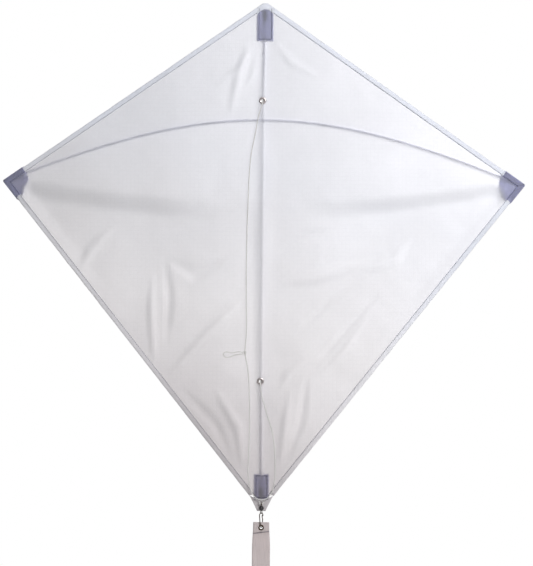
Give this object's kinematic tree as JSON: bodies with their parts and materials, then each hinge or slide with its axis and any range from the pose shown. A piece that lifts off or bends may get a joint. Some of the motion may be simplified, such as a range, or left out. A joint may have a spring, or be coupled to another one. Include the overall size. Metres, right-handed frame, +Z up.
{
  "type": "diamond kite",
  "caption": "Diamond kite with a thin white sail, a bowed cross spar in corner pockets, a slack bridle with a tow loop, and a ribbon tail on a snap swivel.",
  "frame": {"origin": "the hang point in the nose corner, on the sail's front face, from which the kite hangs", "axes": "+Z up towards the nose, -Y out of the sail's face towards the flyer, +X to the right as the face is seen"},
  "size_m": [0.6818, 0.0404, 0.8633],
  "materials": {
    "sail_cloth": "thin translucent white ripstop nylon",
    "hem_cloth": "doubled white ripstop, sewn with dark thread",
    "webbing": "grey woven webbing",
    "rod": "pale glass-fibre rod",
    "end_cap": "black vinyl",
    "eyelet_metal": "nickel-plated, worn to brass",
    "barrel": "black",
    "brass_wire": "dull brass",
    "line": "braided white line",
    "tail_cloth": "off-white ribbon",
    "tie_band": "white tape"
  },
  "bodies": {
    "kite": {"sail": "sail_cloth", "hem_upper_left": "hem_cloth", "hem_upper_right": "hem_cloth", "hem_lower_left": "hem_cloth", "hem_lower_right": "hem_cloth", "nose_hem_cap": "hem_cloth", "tail_hem_cap": "hem_cloth", "nose_pocket": "webbing", "tail_pocket": "webbing", "left_wing_pocket": "webbing", "right_wing_pocket": "webbing", "spine": "rod", "spine_nose_cap": "end_cap", "spine_tail_cap": "end_cap", "cross_spar": "rod", "cross_spar_left_cap": "end_cap", "cross_spar_right_cap": "end_cap", "upper_eyelet": "eyelet_metal", "lower_eyelet": "eyelet_metal", "upper_bridle_hitch": "line", "lower_bridle_hitch": "line", "bridle_line": "line", "tow_knot": "line", "tail_loop": "line"},
    "tow_loop": {"tow_loop": "line"},
    "swivel_eye": {"swivel_eye": "brass_wire"},
    "swivel_barrel": {"swivel_barrel": "barrel"},
    "swivel_lower_eye": {"swivel_lower_eye": "brass_wire"},
    "snap": {"snap_wire": "brass_wire"},
    "snap_arm": {"snap_arm": "brass_wire"},
    "tail": {"tail_eyelet": "brass_wire", "tail_ribbon": "tail_cloth", "tail_hank": "tail_cloth", "tail_tie": "tie_band"}
  },
  "joints": [
    {"name": "tow_loop_swing", "type": "hinge", "parent": "kite", "child": "tow_loop", "pos_m": [-0.023, -0.0034, -0.451], "axis": [0, 0, 1], "range_deg": [0, 150]},
    {"name": "swivel_swing", "type": "hinge", "parent": "kite", "child": "swivel_eye", "pos_m": [0, -0.0042, -0.6468], "axis": [1, 0, 0], "range_deg": [-70, 0]},
    {"name": "swivel_spin", "type": "hinge", "parent": "swivel_eye", "child": "swivel_barrel", "pos_m": [0, -0.0042, -0.65198], "axis": [0, 0, 1], "continuous": true},
    {"name": "snap_spin", "type": "hinge", "parent": "swivel_barrel", "child": "swivel_lower_eye", "pos_m": [0, -0.0042, -0.65478], "axis": [0, 0, 1], "continuous": true},
    {"name": "snap_swing", "type": "hinge", "parent": "swivel_lower_eye", "child": "snap", "pos_m": [0, -0.0042, -0.65861], "axis": [0.6157, 0.788, 0], "range_deg": [-60, 70]},
    {"name": "latch_open", "type": "hinge", "parent": "snap", "child": "snap_arm", "pos_m": [0.00119, -0.00267, -0.67579], "axis": [-0.788, 0.6157, 0], "range_deg": [0, 25]},
    {"name": "tail_swing", "type": "hinge", "parent": "snap", "child": "tail", "pos_m": [0, -0.0042, -0.6778], "axis": [0, 1, 0], "range_deg": [-50, 50]}
  ]
}
